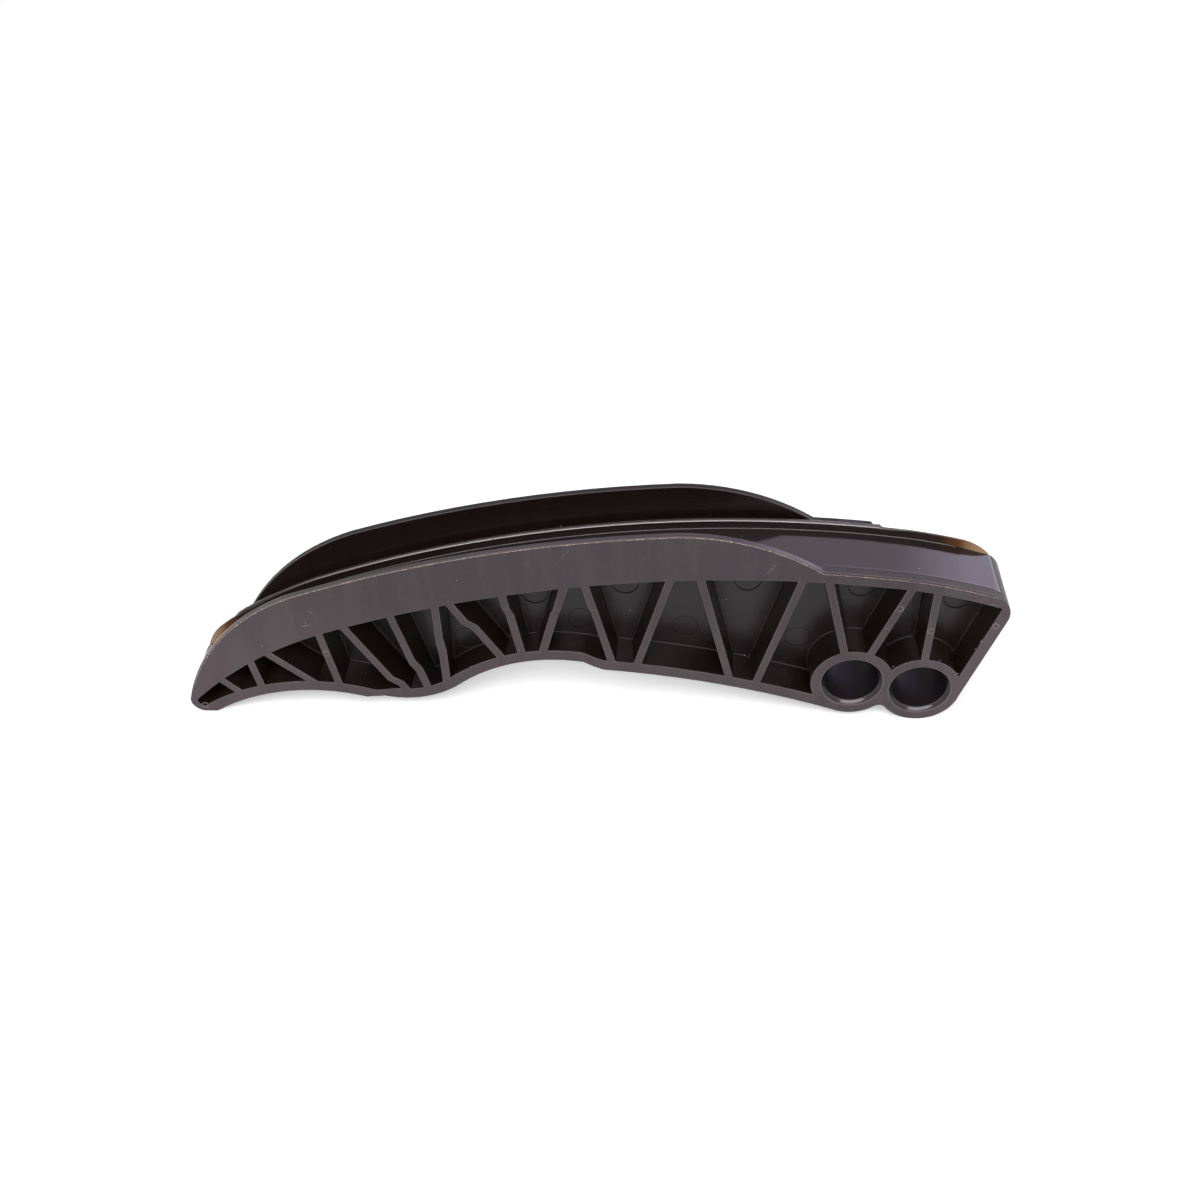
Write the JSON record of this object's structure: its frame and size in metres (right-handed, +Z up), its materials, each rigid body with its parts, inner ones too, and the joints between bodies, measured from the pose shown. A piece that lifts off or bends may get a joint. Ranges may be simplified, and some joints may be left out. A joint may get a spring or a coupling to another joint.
{
  "type": "timing chain guide",
  "caption": "Curved moulded chain guide with a flanged running channel on top, a ribbed truss along each side of a middle web and a pair of bolt bosses at its fixed end.",
  "frame": {"origin": "middle of the main bolt bore, half way across the rail's width", "axes": "+X along the rail from its tip to the bolt bosses, +Y along the bolt bores away from the side with the clearance recess, +Z up towards the running surface"},
  "size_m": [0.1197, 0.0124, 0.0341],
  "materials": {
    "nylon": "satin"
  },
  "bodies": {
    "root": {"guide_rail": "nylon"}
  },
  "joints": []
}
